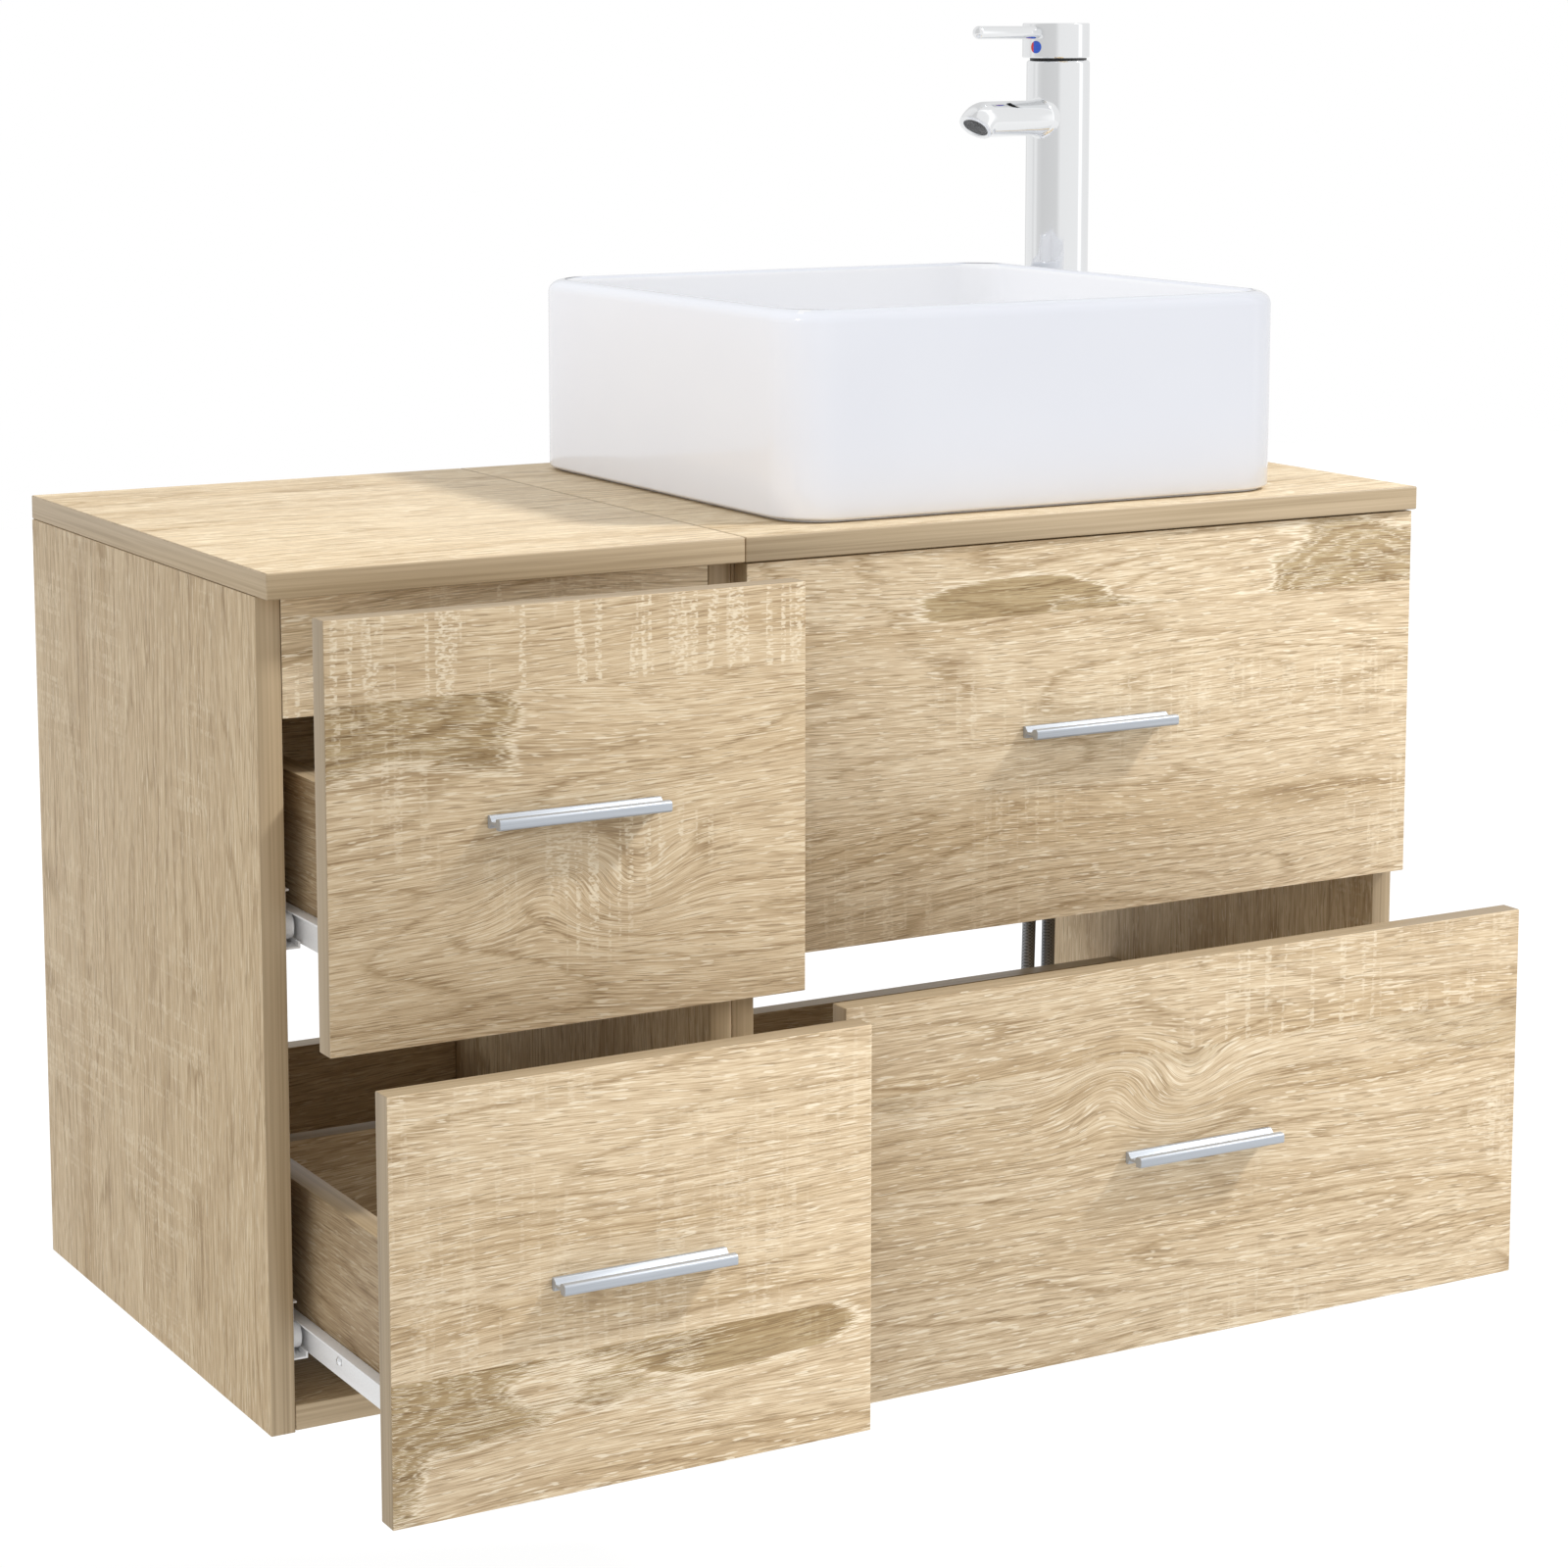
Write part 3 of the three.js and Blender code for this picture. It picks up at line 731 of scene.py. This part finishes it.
def make_basin():
    low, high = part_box("basin")
    centre = (low + high) / 2
    half_w, half_d = (high.x - low.x) / 2, (high.y - low.y) / 2
    angles = basin_angles(half_w, half_d, BASIN_CORNER)

    def spot(reach, angle, z):
        return Vector((centre.x + reach * math.cos(angle), centre.y + reach * math.sin(angle), low.z + z))

    rings = []
    for inset, z, radius in basin_profile(high.z - low.z):
        w, d = half_w - inset, half_d - inset
        rings.append([spot(rounded_distance(w, d, min(radius, w, d), a), a, z) for a in angles])
    edges = [math.hypot(point.x - centre.x, point.y - centre.y) for point in rings[-1]]
    for share in (0.15, 0.32, 0.5, 0.68, 0.84, 0.95, 1.0):
        z = BASIN_FLOOR - BASIN_FALL * share
        rings.append([
            spot(edge + (DRAIN_RADIUS + DRAIN_EDGE - edge) * share, a, z) for a, edge in zip(angles, edges)
        ])
    for radius, z in ((0.001, BASIN_FLOOR - 0.0042), (0.0, BASIN_FLOOR - 0.007), (0.0, 0.0)):
        rings.append([spot(DRAIN_RADIUS + radius, a, z) for a in angles])

    vertices, faces = loft(rings)
    count = len(angles)
    base = (len(rings) - 1) * count
    for i in range(count):
        j = (i + 1) % count
        faces.append((base + i, base + j, j, i))
    basin = add_mesh("basin_glazed", vertices, faces, GLAZE)
    # The inside faces take the lighter glaze: painted light in the bowl's shade.
    basin.data.materials.append(GLAZE_INSIDE_PAINTED_LIGHT)
    wall = BASIN_WALL - 0.001
    for polygon in basin.data.polygons:
        middle = polygon.center
        within = abs(middle.x - centre.x) < half_w - wall and abs(middle.y - centre.y) < half_d - wall
        if within and middle.z > low.z + BASIN_FLOOR - 0.004:
            polygon.material_index = 1
    sharpen(basin, math.radians(60))
    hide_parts("basin")
    return basin, Vector((centre.x, centre.y, low.z + BASIN_FLOOR - BASIN_FALL))


def make_waste(seat, chromed, rubber):
    """Pop-up waste: flange in the basin's hole, domed plug over it, threaded tail and back nut below."""
    radius = DRAIN_RADIUS
    flange = [(radius - 0.006, -0.004), (radius - 0.001, -0.004), (radius - 0.001, 0.0006)]
    flange += [(radius + 0.008, 0.0006), (radius + 0.0085, 0.0012), (radius + 0.006, 0.0026)]
    flange += [(radius - 0.002, 0.003), (radius - 0.0055, 0.0008), (radius - 0.006, -0.004)]
    sharpen(lathe("waste_flange", flange, seat, chromed, ends=(False, False)))
    dome = [(0.0002, 0.0092)]
    dome += [(0.0195 * math.sin(t), 0.0042 + 0.005 * math.cos(t)) for t in (0.25, 0.5, 0.8, 1.1, 1.4)]
    dome += [(0.0205, 0.0036), (0.0202, 0.0026), (0.017, 0.0022)]
    dome += [(0.004, 0.002), (0.004, -0.02), (0.0002, -0.02)]
    sharpen(lathe("waste_plug", dome, seat, chromed))
    bore, core, crest = 0.0150, 0.0165, 0.0175
    tail = [(0.0155, -0.0045), (core, -0.0045), (core, -0.02)]
    thread_start, pitch = -0.022, 0.0016
    for k in range(22):
        z = thread_start - k * pitch
        tail += [(crest, z), (core, z - pitch / 2)]
    tail += [(core, -0.06), (core, -0.09), (bore, -0.09), (bore, -0.0045)]
    sharpen(lathe("waste_tail", tail, seat, chromed, segments=48, ends=(False, False)))
    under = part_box("right_countertop")[0].z - seat.z
    washer = collar(0.018, 0.031, under - 0.0005, under - 0.0035)
    sharpen(lathe("waste_washer", washer, seat, rubber, segments=64, ends=(False, False)))
    nut = [(0.018, under - 0.004), (0.027, under - 0.004), (0.0275, under - 0.005)]
    nut += [(0.0275, under - 0.0125), (0.0265, under - 0.0135), (0.018, under - 0.0135)]
    back_nut = lathe(
        "waste_nut", nut + nut[:1], seat, chromed, segments=8, ends=(False, False),
    )
    back_nut.data.shade_flat()


# ---- mixer tap ----
TAP = Vector((0.3484, -0.052, 0.09))
TAP_TURN = math.radians(-160)
TAP_FORWARD = Vector((math.cos(TAP_TURN), math.sin(TAP_TURN), 0))
COLUMN = 0.0225
SPOUT_RADIUS = 0.0124
SPOUT_HEIGHT = 0.2320
SPOUT_STRAIGHT = 0.0855     # from the column's axis to the start of the bend
SPOUT_BEND = 0.0130
SPOUT_DROOP = 50            # degrees that the mouth points down
SPOUT_FLARE = 0.0035        # rounding where the spout leaves the column
# The rounding of the spout's mouth and its bore: (radius, distance past the spout's end).
MOUTH_RINGS = ((0.0122, 0.0006), (0.0112, 0.0010), (0.0093, 0.0010), (0.0089, 0.0004), (0.0089, -0.004))
CAP_BASE = 0.2741
CAP_TOP = 0.2986
CAP_RADIUS = 0.0238
CAP_SHIFT = 0.003
CAP_GAP = 0.0014
COLUMN_TOP = CAP_BASE - CAP_GAP
PIN_HEIGHT = 0.292
MARK_HEIGHT = 0.2818
MARK_RADIUS = 0.0044


def tap_point(x, y, z):
    """From the tap's own axes, x along the spout, to the shared frame."""
    side = Vector((0, 0, 1)).cross(TAP_FORWARD)
    return TAP + TAP_FORWARD * x + side * y + Vector((0, 0, z))


def make_tap_column(chromed):
    skirt, edge = 0.0254, 0.0025
    profile = [(AXIS, 0.0003), (0.0250, 0.0003), (skirt, 0.0008), (skirt, 0.0026), (0.0248, 0.0034)]
    profile += [(COLUMN + 0.0004, 0.0040), (COLUMN, 0.0048), (COLUMN, 0.06), (COLUMN, 0.12), (COLUMN, 0.18)]
    profile += [(COLUMN, COLUMN_TOP - edge)]
    profile += [(COLUMN - edge + r, COLUMN_TOP - edge + z) for r, z in arc((0, 0), edge, 12, 90, 6)]
    profile += [(AXIS, COLUMN_TOP)]
    column = lathe("tap_column", profile, TAP, chromed, segments=128)
    sharpen(column)
    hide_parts("tap_body")


def spout_ring(x, z, angle, radius, phis):
    """A ring round the spout's centreline at (x, z), where it points down by the angle."""
    ring = []
    for phi in phis:
        up = radius * math.sin(phi)
        height = SPOUT_HEIGHT + z + up * math.cos(angle)
        ring.append(tap_point(x + up * math.sin(angle), radius * math.cos(phi), height))
    return ring


def make_tap_spout(chromed, mesh_grey):
    """The spout grows out of the column with a flare, bends down at its end and holds the aerator."""
    rings = []
    around = 64
    phis = [2 * math.pi * i / around for i in range(around)]
    for k in range(8):
        t = math.radians(90 * k / 7)
        radius = SPOUT_RADIUS + SPOUT_FLARE * (1 - math.sin(t))
        ring = []
        for phi in phis:
            y = radius * math.cos(phi)
            skin = math.sqrt(max(COLUMN ** 2 - y ** 2, 0))
            x = skin - 0.0002 + SPOUT_FLARE * (1 - math.cos(t))
            ring.append(tap_point(x, y, SPOUT_HEIGHT + radius * math.sin(phi)))
        rings.append(ring)
    stations = [(0.045, 0.0, 0), (0.068, 0.0, 0)]
    for k in range(9):
        angle = math.radians(SPOUT_DROOP * k / 8)
        ahead, down = SPOUT_BEND * math.sin(angle), SPOUT_BEND * (1 - math.cos(angle))
        stations.append((SPOUT_STRAIGHT + ahead, -down, angle))
    tip_x, tip_z, droop = stations[-1]
    ahead, down = math.cos(droop), math.sin(droop)
    snout = 0.0005
    end_x, end_z = tip_x + snout * ahead, tip_z - snout * down
    stations.append((end_x, end_z, droop))
    for x, z, angle in stations:
        rings.append(spout_ring(x, z, angle, SPOUT_RADIUS, phis))
    for radius, push in MOUTH_RINGS:
        rings.append(spout_ring(end_x + push * ahead, end_z - push * down, droop, radius, phis))
    vertices, faces = loft(rings)
    sharpen(add_mesh("tap_spout", vertices, faces, chromed), math.radians(50))

    recess = 0.0006
    mouth = tap_point(end_x - recess * ahead, 0, SPOUT_HEIGHT + end_z + recess * down)
    outward = TAP_FORWARD * ahead - Vector((0, 0, down))
    disc = [(0.0087, -0.003), (0.0087, 0.0), (0.0081, 0.0004)]
    for k in range(5):
        r = 0.0077 - k * 0.0015
        disc += [(r, 0.0004), (r - 0.0004, -0.0002), (r - 0.0011, -0.0002), (r - 0.0013, 0.0004)]
    disc += [(0.0002, 0.0004)]
    sharpen(lathe("tap_aerator", disc, mouth, mesh_grey, axis=outward, segments=48))


def make_tap_fixings(chromed, black):
    """Dark ring under the lever's cap, threaded shank, washer and lock nut under the top, foot gasket."""
    low, high = COLUMN_TOP - 0.001, CAP_BASE + 0.0006
    gap = [(AXIS, low), (0.0202, low), (0.0202, high), (AXIS, high)]
    sharpen(lathe("tap_gap_ring", gap, TAP, black))
    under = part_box("right_countertop")[0].z - TAP.z
    core, crest, pitch, end = 0.0112, 0.0119, 0.0015, -0.044
    shank = [(AXIS, 0.0), (core, 0.0)]
    z = under + 0.002
    while z > end + 0.0005:
        shank += [(crest, z), (core, z - pitch / 2)]
        z -= pitch
    shank += [(core, end), (AXIS, end)]
    sharpen(lathe("tap_shank", shank, TAP, chromed, segments=48))
    washer = collar(0.0125, 0.0235, under - 0.0004, under - 0.0034)
    sharpen(lathe("tap_washer", washer, TAP, black, segments=64, ends=(False, False)))
    nut = [(0.0122, under - 0.0038), (0.0188, under - 0.0038), (0.0195, under - 0.0048)]
    nut += [(0.0195, under - 0.0108), (0.0188, under - 0.0118), (0.0122, under - 0.0118)]
    lock = lathe("tap_lock_nut", nut + nut[:1], TAP, chromed, segments=6, ends=(False, False))
    lock.data.shade_flat()
    foot = collar(0.0245, 0.0258, 0.0001, 0.0005)
    sharpen(lathe("tap_foot_gasket", foot, TAP, black, ends=(False, False)))


def make_tap_lever(chromed):
    r, b, t = CAP_RADIUS, CAP_BASE, CAP_TOP
    edge = 0.0010
    profile = [(0.0180, b + 0.002), (0.0200, b + 0.0002), (r - 0.0008, b)]
    profile += [(r, b + 0.0008), (r, b + 0.008), (r, b + 0.016), (r, t - edge)]
    profile += [(r - edge + x, t - edge + z) for x, z in arc((0, 0), edge, 15, 90, 4)]
    profile += [(r - 0.004, t), (AXIS, t)]
    middle = tap_point(CAP_SHIFT, 0, 0)
    cap = lathe(
        "tap_lever_cap", profile, middle, chromed, "tap_lever", segments=128, ends=(False, True),
    )
    sharpen(cap)
    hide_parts("tap_lever")
    root, tip, radius, round_end = 0.022, 0.097, 0.0045, 0.0038
    pin = [(AXIS, root), (radius, root), (radius, root + 0.03), (radius, tip - round_end)]
    nose = [(radius - round_end + a, tip - round_end + c) for c, a in arc((0, 0), round_end, 0, 90, 6)]
    pin += nose[::-1][1:]
    pin += [(AXIS, tip)]
    foot = TAP + Vector((0, 0, PIN_HEIGHT))
    handle = lathe("tap_lever_pin", pin, foot, chromed, "tap_lever", 48, TAP_FORWARD)
    sharpen(handle, math.radians(50))


def make_tap_marks(red, blue):
    """Round inlay on the cap's front, red on one side and blue on the rest."""
    for name, material, start, end in (("red", red, 118, 242), ("blue", blue, -118, 118)):
        outline = arc((0, 0), MARK_RADIUS, start, end, 20)
        vertices = []
        for offset in (0.0002, -0.0006):
            for across, up in outline:
                skin = math.sqrt(CAP_RADIUS * CAP_RADIUS - across * across)
                vertices.append(tap_point(CAP_SHIFT + skin + offset, across, MARK_HEIGHT + up))
        count = len(outline)
        faces = [tuple(range(count)), tuple(reversed(range(count, 2 * count)))]
        faces += [(i, (i + 1) % count, count + (i + 1) % count, count + i) for i in range(count)]
        add_mesh(f"tap_{name}_mark", vertices, faces, material, "tap_lever", smooth=False)


# ---- hardware that stays as CAD shapes ----
def dress_hardware(chromed):
    coat = plain("white_epoxy_coat", (0.80,) * 3, (0.86,) * 3, 0.38, 900.0, 1.0, 0.00008, 0.25)
    metal = satin()
    panel = plain("white_hardboard", (0.74, 0.72, 0.68), (0.80, 0.785, 0.75), 0.6, 240.0, 3.0, 0.0001)
    for name, node in NODES.items():
        if "_slide_" in name:
            material, width = coat, 0.00025
        elif name.endswith("_handle"):
            material, width = metal, 0.0007
        elif name.endswith("_drawer_bottom"):
            material, width = panel, 0.0003
        elif name.endswith("_union_nut"):
            material, width = chromed, 0.0005
        elif name == "tap_spindle":
            material, width = chromed, 0.0003
        else:
            continue
        node.data.materials.clear()
        node.data.materials.append(material)
        soften(node, width, 3)


SCREW_RADIUS = 0.0026
SCREW_RISE = 0.008           # above the drawer side's lower edge
SCREW_SHARES = (0.12, 0.44, 0.76)
SLIDE_LENGTH = 0.25
SLIDE_SKIN = 0.0014          # thickness of the slide under the screw's head
# (radius, height) of a pan head with a stepped dimple, as shares of its radius
SCREW_HEAD = (
    (0.35, 0.3), (0.4, 0.62), (0.62, 0.56), (0.86, 0.36), (1.0, 0.05), (1.0, -0.1),
)


def screw(name, centre, axis, material, body):
    profile = [(r * SCREW_RADIUS, h * SCREW_RADIUS) for r, h in ((AXIS, 0.3), *SCREW_HEAD, (AXIS, -0.1))]
    head = lathe(name, profile, centre, material, body, 24, axis)
    sharpen(head, math.radians(50))


def make_screws(chromed):
    """Three screws through each slide's drawer member."""
    for side in ("left", "right"):
        for row in ("upper", "lower"):
            drawer = f"{side}_{row}_drawer"
            for end, outward in (("left", -1), ("right", 1)):
                low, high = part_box(f"{drawer}_{end}_side")
                x = (low.x if outward < 0 else high.x) + outward * SLIDE_SKIN
                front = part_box(f"{drawer}_{end}_slide_drawer_member")[0].y
                for k, share in enumerate(SCREW_SHARES):
                    centre = Vector((x, front + SLIDE_LENGTH * share, low.z + SCREW_RISE))
                    screw(f"{drawer}_{end}_screw_{k}", centre, (outward, 0, 0), chromed, drawer)


# ---- stage ----
AMBIENT = 0.88         # studio light
KEY = 0.71             # sun on everything but the basin
KEY_FROM = Vector((0.625, -0.313, 0.715))
BASIN_KEY = 0.16       # softer sun on the basin only
BASIN_KEY_FROM = Vector((-0.72, -0.2, 0.6))
SUN_WIDTH = math.radians(7)
FLOOR_Z = -0.76
FLOOR_HALF = 6.0
FLOOR_SHADE = 0.12
# Brightness that polished pieces see round the horizon, by share of a turn.
STUDIO_PANELS = (
    (0.0, 0.78), (0.15, 0.82), (0.19, 1.04), (0.385, 1.06), (0.405, 1.45), (0.425, 1.45), (0.45, 1.04),
    (0.60, 0.99), (0.665, 0.85), (0.71, 0.85), (0.75, 1.04), (0.86, 1.01), (0.885, 0.90), (0.915, 1.04),
    (0.95, 0.84), (1.0, 0.78),
)


def make_world():
    """White studio, a little dimmer than the backdrop, with soft panels for glossy reflections."""
    world = bpy.data.worlds.new("studio")
    world.use_nodes = True
    nodes, links = world.node_tree.nodes, world.node_tree.links
    background = nodes["Background"]
    direction = nodes.new("ShaderNodeTexCoord")
    split = nodes.new("ShaderNodeSeparateXYZ")
    links.new(direction.outputs["Generated"], split.inputs[0])
    turn = nodes.new("ShaderNodeMath")
    turn.operation = "ARCTAN2"
    links.new(split.outputs["Y"], turn.inputs[0])
    links.new(split.outputs["X"], turn.inputs[1])
    share = nodes.new("ShaderNodeMapRange")
    share.inputs["From Min"].default_value = -math.pi
    share.inputs["From Max"].default_value = math.pi
    links.new(turn.outputs[0], share.inputs["Value"])
    panels = nodes.new("ShaderNodeFloatCurve")
    points = panels.mapping.curves[0].points
    for _ in range(len(STUDIO_PANELS) - 2):
        points.new(0.5, 0.5)
    for point, (place, level) in zip(points, STUDIO_PANELS):
        point.location = (place, level * AMBIENT / 2)
        point.handle_type = "VECTOR"
    panels.mapping.update()
    links.new(share.outputs[0], panels.inputs["Value"])
    path = nodes.new("ShaderNodeLightPath")
    seen = nodes.new("ShaderNodeMix")
    seen.inputs["A"].default_value = AMBIENT / 2
    links.new(panels.outputs[0], seen.inputs["B"])
    links.new(path.outputs["Is Glossy Ray"], seen.inputs["Factor"])
    strength = nodes.new("ShaderNodeMapRange")
    strength.inputs["To Max"].default_value = 1.0
    double = nodes.new("ShaderNodeMath")
    double.operation = "MULTIPLY"
    double.inputs[1].default_value = 2.0
    links.new(seen.outputs["Result"], double.inputs[0])
    links.new(double.outputs[0], strength.inputs["To Min"])
    links.new(path.outputs["Is Camera Ray"], strength.inputs["Value"])
    links.new(strength.outputs[0], background.inputs["Strength"])
    background.inputs["Color"].default_value = (1, 1, 1, 1)
    bpy.context.scene.world = world


def make_sun(name, strength, basin, only_basin, source):
    """A sun that lights only the basin or everything but the basin."""
    data = bpy.data.lights.new(name, "SUN")
    data.energy = strength * math.pi
    data.angle = SUN_WIDTH
    lamp = bpy.data.objects.new(name, data)
    lamp.rotation_euler = source.to_track_quat("Z", "Y").to_euler()
    bpy.context.scene.collection.objects.link(lamp)
    receivers = bpy.data.collections.new(f"{name}_receivers")
    receivers.objects.link(basin)
    lamp.light_linking.receiver_collection = receivers
    receivers.collection_objects[0].light_linking.link_state = "INCLUDE" if only_basin else "EXCLUDE"


def make_floor():
    """White floor that looks as bright as the backdrop and still takes a faint shadow."""
    tree = Tree("floor_white")
    path = tree.nodes.new("ShaderNodeLightPath")
    glow = tree.math("MULTIPLY_ADD", path.outputs["Is Camera Ray"], 1.0 - AMBIENT)
    glow.node.inputs[2].default_value = AMBIENT - FLOOR_SHADE
    tree.set(
        Base_Color=rgba((FLOOR_SHADE,) * 3), Roughness=0.9, Emission_Color=(1, 1, 1, 1),
        Emission_Strength=glow,
    )
    size, z = FLOOR_HALF, FLOOR_Z
    corners = [(-size, -size, z), (size, -size, z), (size, size, z), (-size, size, z)]
    mesh = bpy.data.meshes.new("floor")
    mesh.from_pydata(corners, [], [(0, 1, 2, 3)])
    mesh.materials.append(tree.material)
    floor = bpy.data.objects.new("floor", mesh)
    bpy.context.scene.collection.objects.link(floor)


# ---- build ----
CHROME = chrome()
GLAZE = glaze("glaze", (0.852, 0.873, 0.942), (0.872, 0.893, 0.957))
# Painted light: the basin's inside is glazed lighter than its outside to lift the shade in the bowl.
GLAZE_INSIDE_PAINTED_LIGHT = glaze("glaze_inside_painted_light", (0.945, 0.95, 0.975), (0.96, 0.965, 0.985))
BLACK = plain("black_rubber", (0.02, 0.02, 0.02), (0.035, 0.035, 0.035), 0.5)
GREY = plain("aerator_grey", (0.13, 0.13, 0.135), (0.2, 0.2, 0.2), 0.45)
RED = plain("mark_red", (0.62, 0.03, 0.03), (0.7, 0.05, 0.04), 0.3)
BLUE = plain("mark_blue", (0.02, 0.09, 0.55), (0.03, 0.12, 0.65), 0.3)

make_camera()
make_hoses()
dress_fronts()
dress_boards()
make_front_rails()
dress_hardware(CHROME)
BASIN, SEAT = make_basin()
make_waste(SEAT, CHROME, BLACK)
make_tap_column(CHROME)
make_tap_spout(CHROME, GREY)
make_tap_fixings(CHROME, BLACK)
make_tap_lever(CHROME)
make_tap_marks(RED, BLUE)
make_screws(CHROME)

make_world()
make_floor()
make_sun("key", KEY, BASIN, False, KEY_FROM)
make_sun("key_basin", BASIN_KEY, BASIN, True, BASIN_KEY_FROM)
bpy.context.scene.view_settings.view_transform = "Standard"
